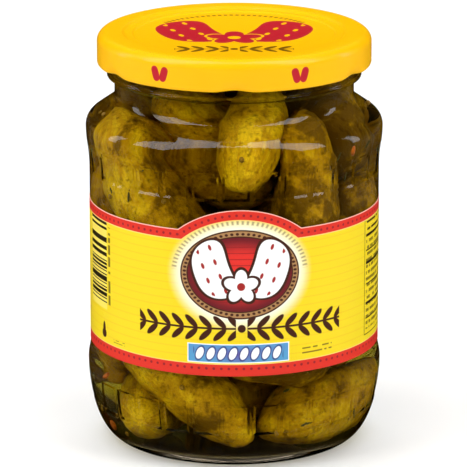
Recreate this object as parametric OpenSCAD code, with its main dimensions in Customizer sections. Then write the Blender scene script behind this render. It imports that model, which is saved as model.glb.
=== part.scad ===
// Jar of gherkins: a round glass jar with a ring of pressed windows round its heel
// and another under its shoulder, the brine inside it, a wrap-round paper label with
// an arched top at the front, and a lug twist cap of painted sheet metal.
// Millimetres, +Z up, origin at the middle of the foot, the label's front faces -Y.

/* [Glass] */
// Diameter of the straight panel that carries the label
panel_d = 94; // [92:0.5:116]
// Height of the straight panel
panel_h = 57.8; // [48:0.2:72]
// Thickness of the side wall
wall = 2.6; // [2:0.1:3.4]
// Diameter of the ring that the jar stands on, outside
foot_d = 74; // [62:1:82]
// Width of the flat of that ring
foot_w = 2.4; // [1.6:0.2:4]
// Height of the hollow under the floor
punt_h = 2.4; // [1:0.2:4]
// Thickness of the floor at its middle
floor_t = 4.2; // [3:0.2:6]
// Height from the foot to the widest ring of the heel
heel_h = 26; // [22:0.5:34]
// How far the heel stands out past the panel
heel_stand = 0.8; // [0.3:0.1:2]
// Height of the step from the heel in to the panel
heel_step = 6.2; // [3:0.2:9]
// How far the shoulder stands out past the panel
shoulder_stand = 1.1; // [0.3:0.1:2.5]
// Height of the swell from the panel out to the shoulder
shoulder_step = 14; // [10:0.5:20]
// Radius of the rounded shoulder
shoulder_round = 5; // [3.5:0.25:6]
// Lean of the shoulder's slope, in degrees from upright
shoulder_lean = 55; // [35:1:70]
// Radius of the hollow curve from the slope into the neck
neck_round = 4; // [2:0.25:6]
// Diameter of the neck
neck_d = 77.4; // [60:0.2:79]
// Height of the straight neck
neck_h = 4.2; // [2:0.2:6]

/* [Mouth] */
// Diameter of the mouth's wall, outside, without its ridges
mouth_d = 81.2; // [64:0.2:84]
// Thickness of the mouth's wall
mouth_wall = 3.4; // [2.6:0.1:4]
// Height from the neck to the rim
mouth_h = 14.9; // [13:0.1:19]
// How far the bead at the foot of the mouth stands past the mouth's wall
bead_stand = 0.5; // [0.2:0.1:0.8]
// Height of that bead
bead_h = 2.6; // [2:0.1:3.4]
// Radius of the rim's rounded edges
rim_round = 0.8; // [0.4:0.1:1.2]
// Number of ridges that the cap's lugs catch under
ridge_n = 6; // [4:1:8]
// How far a ridge stands out from the mouth's wall
ridge_stand = 1.5; // [1:0.1:2]
// Height of a ridge
ridge_h = 1.4; // [1:0.1:2]
// Turn that a ridge covers, in degrees
ridge_turn = 34; // [20:1:40]

/* [Windows] */
// Number of pressed windows in a ring
window_n = 30; // [20:1:32]
// Width of a window
window_w = 8.6; // [6:0.1:8.9]
// Height of a window in the heel's ring
heel_window_h = 11.2; // [8:0.2:13]
// Height from the foot to the heel's windows
heel_window_z = 12.2; // [9:0.2:14]
// Height of a window in the shoulder's ring
shoulder_window_h = 10.2; // [6:0.2:12]
// Gap from the panel's top down to the shoulder's windows
shoulder_window_drop = 1.4; // [0.4:0.2:3]
// Depth of the windows
window_depth = 0.35; // [0.15:0.05:0.8]
// Radius of a window's corners
window_round = 1.6; // [0.6:0.1:2.5]

/* [Brine] */
// Gap from the rim down to the brine's surface
head_gap = 6.5; // [4:0.5:20]

/* [Label] */
// Thickness of the paper
label_t = 0.12; // [0.08:0.02:0.3]
// Height of the label round the jar
label_h = 47.7; // [36:0.1:56]
// Gap from the heel's step up to the label's lower edge
label_gap = 0.4; // [0:0.1:3]
// How far the arch at the front rises above the label's upper edge
arch_rise = 7; // [3:0.25:8]
// Width of the arch, straight across
arch_w = 39; // [28:0.5:50]
// Turn of the arch from the front, in degrees
arch_turn = 2.3; // [-10:0.1:10]

/* [Cap] */
// Thickness of the sheet metal
sheet = 0.35; // [0.2:0.05:0.5]
// Thickness of the curl at the skirt's lower edge
curl_d = 1.8; // [1.2:0.1:2.4]
// Room between the mouth's ridges and the curl
cap_room = 0.4; // [0.3:0.05:1]
// Height of the cap
cap_h = 10.3; // [9.6:0.1:11]
// Radius of the cap's rounded upper edge
cap_round = 3; // [2:0.1:3.6]
// Room between the mouth's bore and the cap's sunk panel
panel_room = 0.3; // [0.2:0.05:0.8]
// Depth of the first step down from the cap's rim
cap_step = 0.8; // [0.4:0.1:1.2]
// Depth of the second step, down to the middle
cap_sink = 0.45; // [0.2:0.05:0.8]
// Width of a lug, in degrees
lug_turn = 16; // [8:1:22]
// Thickness of a lug
lug_t = 1.1; // [0.8:0.1:1.4]
// Room between a lug and the mouth's wall
lug_room = 0.5; // [0.3:0.1:0.8]

/* [Hidden] */
$fn = 96;
past = 3;           // how far cutters run past what they cut
arc_n = 6;          // segments in a small arc
heel_n = 14;        // segments in the heel's curve
swell_n = 8;        // segments in the swell under the shoulder
corner_n = 3;       // segments in a window's corner
curl_n = 14;        // segments in the cap's curl
floor_flat = 0.8;   // flat middle of the floor inside, as a share of the inner radius
floor_fall = 2.6;   // fall of the floor inside, from its middle to the edge of that flat
ridge_root = 0.6;   // depth that a ridge is rooted in the mouth's wall
ridge_taper = 0.35; // slope of a ridge's upper and lower faces, in height
lug_lift = 0.1;     // height of the lugs above the skirt's edge
lug_catch = 0.4;    // gap between a lug and the ridge above it
step_w = 1.6;       // width of the first step down from the cap's rim
ledge_w = 1.8;      // width of the ledge between the steps
sink_w = 1;         // width of the second step

panel_r = panel_d / 2;
heel_r = panel_r + heel_stand;
shoulder_r = panel_r + shoulder_stand;
foot_r = foot_d / 2;
neck_r = neck_d / 2;
mouth_r = mouth_d / 2;
bore_r = mouth_r - mouth_wall;
ridge_r = mouth_r + ridge_stand;

panel_z = heel_h + heel_step;
panel_top = panel_z + panel_h;
shoulder_z = panel_top + shoulder_step;
slope_w = shoulder_r - neck_r - (shoulder_round + neck_round) * (1 - cos(shoulder_lean));
neck_z = shoulder_z + (shoulder_round + neck_round) * sin(shoulder_lean)
    + slope_w / tan(shoulder_lean);
bead_z = neck_z + neck_h;
rim_z = bead_z + mouth_h;
brine_z = rim_z - head_gap;
floor_z = punt_h + floor_t;

cap_r = ridge_r + cap_room + curl_d;
cap_top = rim_z + sheet;
cap_z = cap_top - cap_h;
crest_r = bore_r - panel_room - sheet;
ledge_r = crest_r - step_w;
sunk_r = ledge_r - ledge_w;
ledge_z = cap_top - cap_step;
sunk_z = ledge_z - cap_sink;
lug_z = cap_z + lug_lift;
ridge_z = lug_z + lug_t + lug_catch;

label_z = panel_z + label_gap;
label_top = label_z + label_h;
arch_round = (arch_w * arch_w / 4 + arch_rise * arch_rise) / (2 * arch_rise);

// Arc about [x, z], from angle a0 to angle a1
function arc(x, z, r, a0, a1, n = arc_n) =
    [for (i = [0:n]) let (a = a0 + (a1 - a0) * i / n) [x + r * cos(a), z + r * sin(a)]];

// Quarter ellipse that leaves [x0, z0] level and reaches [x1, z1] upright
function quarter(x0, z0, x1, z1, n = heel_n) =
    [for (i = [0:n]) let (a = 90 * i / n) [x0 + (x1 - x0) * sin(a), z1 - (z1 - z0) * cos(a)]];

// Soft step from one upright wall to another
function upright_step(x0, z0, x1, z1, n = arc_n) =
    [for (i = [0:n]) let (t = i / n) [x0 + (x1 - x0) * (1 - cos(180 * t)) / 2, z0 + (z1 - z0) * t]];

// Soft step from one level to another
function level_step(x0, z0, x1, z1, n = arc_n) =
    [for (i = [0:n]) let (t = i / n) [x0 + (x1 - x0) * t, z0 + (z1 - z0) * (1 - cos(180 * t)) / 2]];

function reversed(p) = [for (i = [len(p) - 1:-1:0]) p[i]];

// Side of the glass from the heel's widest ring to the neck, set in by t
function side_line(t) = concat(
    upright_step(heel_r - t, heel_h, panel_r - t, panel_z),
    upright_step(panel_r - t, panel_top, shoulder_r - t, shoulder_z, swell_n),
    arc(shoulder_r - shoulder_round, shoulder_z, shoulder_round - t, 0, shoulder_lean),
    arc(neck_r + neck_round, neck_z, neck_round + t, 180 + shoulder_lean, 180)
);

// Outer heel, from the foot to the widest ring, set in by t
function heel_line(t) = quarter(foot_r, 0, heel_r - t, heel_h);

// Inside of the glass, from the middle of the floor up to the bore
inner_line = concat(
    [[0, floor_z]],
    quarter((heel_r - wall) * floor_flat, floor_z - floor_fall, heel_r - wall, heel_h),
    side_line(wall),
    upright_step(neck_r - wall, bead_z, bore_r, bead_z + bead_h)
);

mouth_line = concat(
    upright_step(neck_r, bead_z, mouth_r + bead_stand, bead_z + bead_h / 2),
    upright_step(mouth_r + bead_stand, bead_z + bead_h * 2 / 3, mouth_r, bead_z + bead_h),
    arc(mouth_r - rim_round, rim_z - rim_round, rim_round, 0, 90),
    arc(bore_r + rim_round, rim_z - rim_round, rim_round, 90, 180)
);

jar_line = concat(
    [[0, punt_h], [foot_r - foot_w - punt_h, punt_h], [foot_r - foot_w, 0]],
    heel_line(0),
    side_line(0),
    mouth_line,
    reversed(inner_line)
);

// Window outline, w wide and h high, standing on the X axis
module window_outline(w, h) {
    polygon(concat(
        arc(w / 2 - window_round, window_round, window_round, -90, 0, corner_n),
        arc(w / 2 - window_round, h - window_round, window_round, 0, 90, corner_n),
        arc(window_round - w / 2, h - window_round, window_round, 90, 180, corner_n),
        arc(window_round - w / 2, window_round, window_round, 180, 270, corner_n)
    ));
}

// Ring of windows, h high from z, cut into the surface whose set-in line is given
module window_ring(line, z, h) {
    intersection() {
        rotate_extrude() polygon(concat(line, [[heel_r + past, line[len(line) - 1][1]],
            [heel_r + past, line[0][1]]]));
        for (i = [0:window_n - 1])
            rotate([0, 0, (i + 0.5) * 360 / window_n])
                translate([0, -foot_r / 2, z]) rotate([90, 0, 0])
                    linear_extrude(panel_d) window_outline(window_w, h);
    }
}

// Ridges round the mouth that the lugs turn under
module ridges() {
    for (i = [0:ridge_n - 1])
        rotate([0, 0, (i + 0.5) * 360 / ridge_n - 90 - ridge_turn / 2])
            rotate_extrude(angle = ridge_turn)
                polygon([
                    [mouth_r - ridge_root, ridge_z], [ridge_r, ridge_z + ridge_taper],
                    [ridge_r, ridge_z + ridge_h - ridge_taper],
                    [mouth_r - ridge_root, ridge_z + ridge_h]
                ]);
}

module jar() {
    color([0.8, 0.86, 0.84, 0.4]) difference() {
        union() {
            rotate_extrude() polygon(jar_line);
            ridges();
        }
        window_ring(heel_line(window_depth), heel_window_z, heel_window_h);
        window_ring(
            concat(
                [[panel_r - window_depth, panel_top - shoulder_window_drop - past]],
                upright_step(panel_r - window_depth, panel_top,
                    shoulder_r - window_depth, shoulder_z, swell_n)
            ),
            panel_top - shoulder_window_drop, shoulder_window_h
        );
    }
}

module brine() {
    fill_line = [for (p = inner_line) if (p[1] < brine_z) p];
    color([0.5, 0.42, 0.08, 0.8]) rotate_extrude()
        polygon(concat(fill_line, [[bore_r, brine_z], [0, brine_z]]));
}

module label() {
    color([0.99, 0.88, 0.25]) intersection() {
        difference() {
            translate([0, 0, label_z]) cylinder(r = panel_r + label_t, h = label_h + arch_rise);
            translate([0, 0, label_z - past])
                cylinder(r = panel_r, h = label_h + arch_rise + 2 * past);
        }
        union() {
            translate([0, 0, label_z - past]) cylinder(r = panel_r + past, h = label_h + past);
            rotate([0, 0, arch_turn]) translate([0, 0, label_top + arch_rise - arch_round])
                rotate([90, 0, 0]) cylinder(r = arch_round, h = panel_d);
        }
    }
}

// Upper side of the cap's sheet, from the middle out and down to the curl
cap_line = concat(
    [[0, sunk_z]],
    level_step(sunk_r - sink_w, sunk_z, sunk_r, ledge_z),
    level_step(ledge_r, ledge_z, crest_r, cap_top),
    arc(cap_r - cap_round, cap_top - cap_round, cap_round, 90, 0)
);

// Under side of the same sheet
under_line = concat(
    [[0, sunk_z - sheet]],
    level_step(sunk_r - sink_w + sheet / 2, sunk_z - sheet, sunk_r + sheet / 2, ledge_z - sheet),
    level_step(ledge_r + sheet / 2, ledge_z - sheet, crest_r + sheet / 2, cap_top - sheet),
    arc(cap_r - cap_round, cap_top - cap_round, cap_round - sheet, 90, 0)
);

module lid() {
    color([0.99, 0.8, 0.08]) union() {
        rotate_extrude() polygon(concat(
            cap_line,
            arc(cap_r - curl_d / 2, cap_z + curl_d / 2, curl_d / 2, 0, -320, curl_n),
            [[cap_r - sheet, cap_z + curl_d]],
            reversed(under_line)
        ));
        for (i = [0:ridge_n - 1])
            rotate([0, 0, i * 360 / ridge_n - 90 - lug_turn / 2])
                rotate_extrude(angle = lug_turn)
                    translate([mouth_r + lug_room, lug_z])
                        square([cap_r - curl_d / 2 - mouth_r - lug_room, lug_t]);
    }
}

jar();
brine();
label();
lid();
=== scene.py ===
"""Jar of gherkins: pressed glass, brine, gherkins and spices, paper label and twist cap."""
import math
import random

import bpy
import numpy as np
from bpy.props import FloatProperty, FloatVectorProperty, IntProperty, PointerProperty
from mathutils import Euler, Matrix, Vector


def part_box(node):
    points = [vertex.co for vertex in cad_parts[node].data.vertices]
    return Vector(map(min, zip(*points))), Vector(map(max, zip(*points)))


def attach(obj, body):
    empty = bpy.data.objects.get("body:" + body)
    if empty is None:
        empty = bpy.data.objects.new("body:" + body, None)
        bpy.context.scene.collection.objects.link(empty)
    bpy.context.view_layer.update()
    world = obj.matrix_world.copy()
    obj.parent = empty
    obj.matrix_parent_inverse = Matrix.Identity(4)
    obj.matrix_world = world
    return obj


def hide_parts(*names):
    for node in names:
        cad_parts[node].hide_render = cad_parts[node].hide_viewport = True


bl_info = {
    "name": "Gherkin Jar",
    "version": (1, 0, 0),
    "blender": (4, 5, 0),
    "location": "View3D > Sidebar > Jar",
    "description": "Builds a glass jar of gherkins in brine with a paper label and a twist cap",
    "category": "Object",
}

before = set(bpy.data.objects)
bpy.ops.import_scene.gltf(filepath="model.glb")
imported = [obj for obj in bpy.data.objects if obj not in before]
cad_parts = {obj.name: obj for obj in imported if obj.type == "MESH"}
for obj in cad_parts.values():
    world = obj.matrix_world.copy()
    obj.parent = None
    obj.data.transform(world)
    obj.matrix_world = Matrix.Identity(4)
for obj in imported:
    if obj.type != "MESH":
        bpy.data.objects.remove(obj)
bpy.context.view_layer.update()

MM = 0.001
FULL_TURN = 2 * math.pi
PAPER_MM = 0.12


def box_radius(node):
    """Largest half width of a CAD node, in metres."""
    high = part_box(node)[1]
    return max(high.x, high.y)


PANEL_R = box_radius("label") - PAPER_MM * MM
RIM_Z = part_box("jar")[1].z
SHOULDER_R = box_radius("jar")
BRINE_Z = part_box("brine")[1].z
LABEL_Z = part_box("label")[0].z
LABEL_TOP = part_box("label")[1].z
CAP_R = box_radius("lid")
CAP_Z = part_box("lid")[0].z
CAP_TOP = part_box("lid")[1].z

# Inside of the floor: its share of the heel's radius, and its fall from the middle to there
FLOOR_SHARE = 0.8
FLOOR_FALL = 2.6 * MM
# Lower and upper edges of the two rings of windows, and the size of their cut corners
WINDOW_RINGS = ((12.0 * MM, 23.6 * MM), (88.6 * MM, 98.9 * MM))
WINDOW_CORNER = 1.1 * MM
# Face columns in the pitch of one window, in every turned part of the glass
WINDOW_COLUMNS = 8


def rgb(red, green, blue):
    """Linear colour of a screen colour given from 0 to 255."""
    def linear(part):
        part /= 255
        return part / 12.92 if part <= 0.04045 else ((part + 0.055) / 1.055) ** 2.4
    return (linear(red), linear(green), linear(blue))


def length(name, text, millimetres):
    """A length in the sidebar, stored in metres."""
    return FloatProperty(name=name, description=text, default=millimetres * MM,
                         subtype="DISTANCE", unit="LENGTH", precision=5)


def colour(name, text, red, green, blue):
    """A colour in the sidebar, given as screen values."""
    return FloatVectorProperty(name=name, description=text, default=rgb(red, green, blue),
                               subtype="COLOR", size=3, min=0, max=1)


def number(name, text, value):
    """A plain number in the sidebar."""
    return FloatProperty(name=name, description=text, default=value)


def integer(name, text, value):
    """A whole number in the sidebar."""
    return IntProperty(name=name, description=text, default=value)


def angle(name, text, degrees):
    """An angle in the sidebar, stored in radians."""
    return FloatProperty(name=name, description=text, default=math.radians(degrees),
                         subtype="ANGLE", unit="ROTATION")


class GlassSettings(bpy.types.PropertyGroup):
    """Sizes and tint of the glass."""

    wall: length("Wall", "Thickness of the side wall", 2.6)
    mouth_wall: length("Mouth wall", "Thickness of the wall at the mouth", 3.4)
    foot_r: length("Foot radius", "Outside radius of the ring the jar stands on", 37)
    foot_w: length("Foot width", "Width of that ring's flat", 2.4)
    punt: length("Punt", "Height of the hollow under the floor", 2.4)
    floor: length("Floor", "Thickness of the floor at its middle", 4.2)
    heel_z: length("Heel height", "Height of the heel's widest ring", 26)
    heel_stand: length("Heel swell", "How far the heel stands out past the panel", 0.8)
    heel_step: length("Heel step", "Height of the step from heel to panel", 6.2)
    panel_top: length("Panel top", "Height at which the panel starts to swell", 90)
    shoulder_z: length("Shoulder height", "Height of the shoulder's widest ring", 104)
    shoulder_round: length("Shoulder radius", "Radius of the rounded shoulder", 5)
    lean: angle("Shoulder lean", "Lean of the shoulder's slope from upright", 55)
    neck_round: length("Neck radius", "Radius of the hollow curve into the neck", 4)
    neck_r: length("Neck", "Radius of the neck", 38.7)
    neck_h: length("Neck height", "Height of the straight neck", 4.2)
    mouth_r: length("Mouth", "Radius of the mouth's wall", 40.6)
    bead_stand: length("Bead", "How far the bead stands past the mouth's wall", 0.5)
    bead_h: length("Bead height", "Height of the bead", 2.6)
    rim_round: length("Rim", "Radius of the rim's edges", 0.8)
    windows: integer("Windows", "Pressed windows in a ring", 30)
    window_depth: length("Window depth", "Depth of the pressed windows", 0.35)
    window_slope: length("Window slope", "Width of the slope round a window", 0.75)
    notch_depth: length("Notch depth", "Depth of the notches in the foot", 0.35)
    notch_slope: length("Notch slope", "Width of the slope round a notch", 0.2)
    tint: colour("Tint", "Colour of the glass", 238, 238, 228)
    # Foot tint: tint of the thick glass at the foot, made darker as painted shade at the bottom of the
    # jar
    foot_tint_and_shade: colour("Foot tint", "Colour of the thick glass at the foot", 172, 160, 142)


class BrineSettings(bpy.types.PropertyGroup):
    """Look of the brine."""

    overlap: length("Overlap", "How far the brine reaches into the glass", 0.3)
    tint: colour("Colour", "Colour that the brine leaves in light", 230, 225, 91)
    density: number("Density", "How strongly the brine takes up light, per metre", 95.0)


class GherkinSettings(bpy.types.PropertyGroup):
    """Look of the gherkins and spices."""

    seed: integer("Seed", "Seed of all that is random", 9)
    light: colour("Light skin", "Pale streaks and tips", 234, 194, 24)
    middle: colour("Skin", "Most of the skin", 194, 147, 12)
    dark: colour("Dark skin", "Mottling and hollows", 112, 79, 6)
    warts: length("Wart height", "How far the warts stand out", 0.9)
    loose: integer("Loose", "Number of gherkins laid at random", 6)
    passes: integer("Passes", "Passes of the settling", 1500)


class LabelSettings(bpy.types.PropertyGroup):
    """Sizes and inks of the label."""

    paper: length("Paper", "Thickness of the paper", PAPER_MM)
    straight_top: length("Upper edge", "Height of the label's straight upper edge", 80.3)
    arch_w: length("Arch", "Width of the arch straight across", 39)
    turn: angle("Turn", "Turn of the label from the front", 2.3)
    lap: length("Lap", "Width of the glued lap at the back", 9)
    yellow: colour("Yellow", "Field of the label", 242, 213, 6)
    red: colour("Red", "Borders", 222, 44, 26)
    brown: colour("Brown", "Dark ink of the ornaments", 72, 34, 20)
    cream: colour("Cream", "Halo round the oval", 255, 252, 226)
    white: colour("White", "White of the ornaments", 252, 252, 250)
    gold: colour("Gold", "Ring of the oval", 176, 132, 82)
    maroon: colour("Maroon", "Outer field of the oval", 112, 26, 34)
    blue: colour("Blue", "Upper part of the plate", 86, 158, 206)
    violet: colour("Violet", "Lower part of the plate", 104, 84, 168)


class CapSettings(bpy.types.PropertyGroup):
    """Sizes and paints of the cap."""

    sheet: length("Sheet", "Thickness of the sheet metal", 0.35)
    curl: length("Curl", "Thickness of the curl", 1.8)
    edge: length("Edge", "Radius of the rounded upper edge", 3)
    crest_r: length("Crest", "Inner radius of the cap's raised rim", 36.55)
    lugs: integer("Lugs", "Number of pressed lugs", 6)
    yellow: colour("Yellow", "Enamel of the cap", 250, 188, 1)
    print_red: colour("Red", "Print on the cap", 186, 32, 44)


class StageSettings(bpy.types.PropertyGroup):
    """Floor, light and camera."""

    distance: number("Distance", "Level distance of the camera from the jar", 1.3498)
    height: number("Height", "Height of the camera", 0.4383)
    aim: number("Aim", "Height that the camera looks at", 0.0668)
    lens: number("Lens", "Focal length of the camera in millimetres", 330.7)
    floor: colour("Floor", "Colour of the floor", 250, 250, 250)


GROUPS = {
    "jar_glass": GlassSettings,
    "jar_brine": BrineSettings,
    "jar_gherkins": GherkinSettings,
    "jar_label": LabelSettings,
    "jar_cap": CapSettings,
    "jar_stage": StageSettings,
}


# Outlines: lists of (radius, height) -----------------------------------------------------

def arc(x, z, r, start, end, n=6):
    """Points of an arc about (x, z), its angles in degrees."""
    turns = [math.radians(start + (end - start) * i / n) for i in range(n + 1)]
    return [(x + r * math.cos(a), z + r * math.sin(a)) for a in turns]


def quarter(x0, z0, x1, z1, n=14):
    """Quarter ellipse that leaves (x0, z0) level and reaches (x1, z1) upright."""
    turns = [0.5 * math.pi * i / n for i in range(n + 1)]
    return [(x0 + (x1 - x0) * math.sin(a), z1 - (z1 - z0) * math.cos(a)) for a in turns]


def upright_step(x0, z0, x1, z1, n=8):
    """Soft step from one upright wall to another."""
    shares = [i / n for i in range(n + 1)]
    return [(x0 + (x1 - x0) * (1 - math.cos(math.pi * t)) / 2, z0 + (z1 - z0) * t) for t in shares]


def level_step(x0, z0, x1, z1, n=8):
    """Soft step from one level to another."""
    shares = [i / n for i in range(n + 1)]
    return [(x0 + (x1 - x0) * t, z0 + (z1 - z0) * (1 - math.cos(math.pi * t)) / 2) for t in shares]


def neck_height(g):
    """Height at which the neck starts, from the shoulder's curves."""
    run = SHOULDER_R - g.neck_r
    curves = g.shoulder_round + g.neck_round
    slope = run - curves * (1 - math.cos(g.lean))
    return g.shoulder_z + curves * math.sin(g.lean) + slope / math.tan(g.lean)


def side_line(g, t):
    """Side of the glass from the heel's widest ring to the neck, set in by t."""
    heel_r = PANEL_R + g.heel_stand
    lean = math.degrees(g.lean)
    panel_z = g.heel_z + g.heel_step
    return (
        upright_step(heel_r - t, g.heel_z, PANEL_R - t, panel_z)
        + upright_step(PANEL_R - t, g.panel_top, SHOULDER_R - t, g.shoulder_z, 12)
        + arc(SHOULDER_R - g.shoulder_round, g.shoulder_z, g.shoulder_round - t, 0, lean, 8)
        + arc(g.neck_r + g.neck_round, neck_height(g), g.neck_round + t, 180 + lean, 180, 8)
    )


def inner_line(g, t):
    """Inside of the glass from the middle of the floor to the rim, its wall t thick."""
    heel_r = PANEL_R + g.heel_stand - t
    bead_z = neck_height(g) + g.neck_h
    floor_z = g.punt + g.floor + t - g.wall
    return (
        [(0, floor_z)]
        + quarter(heel_r * FLOOR_SHARE, floor_z - FLOOR_FALL, heel_r, g.heel_z, 20)
        + side_line(g, t)
        + upright_step(g.neck_r - t, bead_z, g.mouth_r - g.mouth_wall + g.wall - t, bead_z + g.bead_h)
    )


# Modelling -------------------------------------------------------------------------------

def leave_edit():
    """Goes back to object mode."""
    if bpy.context.object and bpy.context.object.mode == "EDIT":
        bpy.ops.object.mode_set(mode="OBJECT")


def pick(obj):
    """Makes obj the only selected and active object."""
    leave_edit()
    bpy.ops.object.select_all(action="DESELECT")
    obj.select_set(True)
    bpy.context.view_layer.objects.active = obj


def thin_out(line, gap=1e-6):
    """Drops points that repeat the one before."""
    kept = [line[0]]
    for point in line[1:]:
        if math.dist(point, kept[-1]) > gap:
            kept.append(point)
    return kept


def turned(name, line, steps, sweep=FULL_TURN):
    """A new object made by spinning an outline of (radius, height) round the Z axis."""
    line = thin_out(line)
    mesh = bpy.data.meshes.new(name)
    mesh.from_pydata([(0, -r, z) for r, z in line], [(i, i + 1) for i in range(len(line) - 1)], [])
    obj = bpy.data.objects.new(name, mesh)
    bpy.context.scene.collection.objects.link(obj)
    pick(obj)
    bpy.ops.object.mode_set(mode="EDIT")
    bpy.ops.mesh.select_all(action="SELECT")
    bpy.ops.mesh.spin(steps=steps, angle=sweep, center=(0, 0, 0), axis=(0, 0, 1))
    bpy.ops.mesh.select_all(action="SELECT")
    bpy.ops.mesh.remove_doubles(threshold=1e-6)
    bpy.ops.mesh.normals_make_consistent(inside=False)
    leave_edit()
    return obj


def select_faces(obj, test):
    """Selects only the faces whose middle and normal pass the test, and enters edit mode."""
    pick(obj)
    bpy.ops.object.mode_set(mode="EDIT")
    bpy.ops.mesh.select_mode(type="FACE")
    bpy.ops.mesh.select_all(action="DESELECT")
    bpy.ops.object.mode_set(mode="OBJECT")
    for face in obj.data.polygons:
        face.select = test(face.center, face.normal)
    bpy.ops.object.mode_set(mode="EDIT")


def smooth(obj, degrees=180):
    """Shades smooth, with creases where faces meet more sharply than the angle."""
    pick(obj)
    if degrees >= 180:
        bpy.ops.object.shade_smooth()
    else:
        bpy.ops.object.shade_smooth_by_angle(angle=math.radians(degrees))


def modify(obj, kind, **settings):
    """Adds a modifier and applies it."""
    pick(obj)
    modifier = obj.modifiers.new(kind.title(), kind)
    for key, value in settings.items():
        setattr(modifier, key, value)
    bpy.ops.object.modifier_apply(modifier=modifier.name)


def joined(name, pieces):
    """One object of all the pieces."""
    pick(pieces[0])
    for piece in pieces:
        piece.select_set(True)
    if len(pieces) > 1:
        bpy.ops.object.join()
    whole = bpy.context.object
    whole.name = name
    whole.data.name = name
    return whole


def turn_of(point):
    """Angle of a point from the front, growing to the right, in radians."""
    return math.atan2(point[0], -point[1])


# Materials -------------------------------------------------------------------------------

class Value:
    """A number that varies over a surface; expressions on it add Math nodes."""

    def __init__(self, kit, socket):
        self.kit = kit
        self.socket = socket

    def __add__(self, other):
        return self.kit.math("ADD", self, other)

    def __sub__(self, other):
        return self.kit.math("SUBTRACT", self, other)

    def __rsub__(self, other):
        return self.kit.math("SUBTRACT", other, self)

    def __mul__(self, other):
        return self.kit.math("MULTIPLY", self, other)

    def __pow__(self, other):
        return self.kit.math("POWER", self, other)

    def __mod__(self, other):
        return self.kit.math("FLOORED_MODULO", self, other)

    def __neg__(self):
        return self.kit.math("MULTIPLY", self, -1.0)

    def __abs__(self):
        return self.kit.math("ABSOLUTE", self)

    def __lt__(self, other):
        return self.kit.math("LESS_THAN", self, other)

    __radd__ = __add__
    __rmul__ = __mul__


class Kit:
    """Builds one material's nodes."""

    def __init__(self, name):
        self.material = bpy.data.materials.new(name)
        self.material.use_nodes = True
        self.tree = self.material.node_tree
        self.tree.nodes.clear()

    def node(self, kind, settings=None, inputs=None):
        """Adds a node; settings are set first, then values or links of its sockets."""
        node = self.tree.nodes.new("ShaderNode" + kind)
        for key, value in (settings or {}).items():
            setattr(node, key, value)
        for key, value in (inputs or {}).items():
            socket = node.inputs[key]
            if isinstance(value, Value):
                value = value.socket
            if isinstance(value, bpy.types.NodeSocket):
                self.tree.links.new(value, socket)
            elif socket.type == "RGBA":
                socket.default_value = (*value[:3], 1.0)
            else:
                socket.default_value = value
        return node

    def math(self, operation, *values, clamp=False):
        """Result of a Math node."""
        node = self.node("Math", {"operation": operation, "use_clamp": clamp}, dict(enumerate(values)))
        return Value(self, node.outputs[0])

    def most(self, *values):
        """Largest of the values."""
        result = values[0]
        for value in values[1:]:
            result = self.math("MAXIMUM", result, value)
        return result

    def least(self, *values):
        """Smallest of the values."""
        result = values[0]
        for value in values[1:]:
            result = self.math("MINIMUM", result, value)
        return result

    def hypot(self, a, b):
        """Length of the level vector (a, b)."""
        return self.math("SQRT", a * a + b * b)

    def inside(self, depth, blur=0.12):
        """1 where depth is above 0 and 0 where it is below, with a soft edge."""
        return self.math("MULTIPLY_ADD", depth, 1.0 / blur, 0.5, clamp=True)

    def mix(self, factor, a, b):
        """Colour a where factor is 0 and b where it is 1."""
        node = self.node("Mix", {"data_type": "RGBA", "clamp_factor": True},
                         {0: factor, 6: a, 7: b})
        return node.outputs[2]

    def place(self):
        """Object coordinates as three values, in millimetres."""
        coords = self.node("TexCoord").outputs["Object"]
        parts = self.node("SeparateXYZ", inputs={0: coords}).outputs
        return [Value(self, part) * 1000.0 for part in parts]

    def vector(self, x, y, z):
        """Three values as one vector."""
        return self.node("CombineXYZ", inputs={0: x, 1: y, 2: z}).outputs[0]

    def noise(self, vector, scale, detail=2.0, roughness=0.5):
        """Cloudy noise from 0 to 1."""
        node = self.node("TexNoise", {}, {"Vector": vector, "Scale": scale, "Detail": detail,
                                          "Roughness": roughness})
        return Value(self, node.outputs["Fac"])

    def chance(self, a, b):
        """Random value from 0 to 1, its own for each pair of whole numbers."""
        node = self.node("TexWhiteNoise", {"noise_dimensions": "2D"},
                         {"Vector": self.vector(a, b, 0.0)})
        return Value(self, node.outputs["Value"])

    def attribute(self, name):
        """Node that reads an attribute of the mesh."""
        return self.node("Attribute", {"attribute_name": name})

    def ramp(self, value, low, high):
        """Value eased from 0 at low to 1 at high."""
        node = self.node("MapRange", {"interpolation_type": "SMOOTHSTEP"},
                         {"Value": value, 1: low, 2: high})
        return Value(self, node.outputs[0])

    def bump(self, height, strength, distance):
        """Normal for a fine relief."""
        return self.node("Bump", {}, {"Height": height, "Strength": strength,
                                      "Distance": distance}).outputs[0]

    def surface(self, **inputs):
        """Principled shader; sockets are named with _ for a space."""
        named = {key.replace("_", " "): value for key, value in inputs.items()}
        return self.node("BsdfPrincipled", {}, named).outputs[0]

    def finish(self, surface, volume=None):
        """Joins the shaders to the material's output, and gives back the material."""
        links = {"Surface": surface}
        if volume:
            links["Volume"] = volume
        self.node("OutputMaterial", {}, links)
        return self.material


def wear(obj, material):
    """Gives the object this one material."""
    obj.data.materials.clear()
    obj.data.materials.append(material)


def let_light_in(kit, surface, tint):
    """Glass that lets lamp light straight through to what is behind it."""
    shadow = kit.node("LightPath").outputs["Is Shadow Ray"]
    clear = kit.node("BsdfTransparent", {}, {"Color": tint}).outputs[0]
    return kit.node("MixShader", {}, {0: shadow, 1: surface, 2: clear}).outputs[0]


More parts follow.
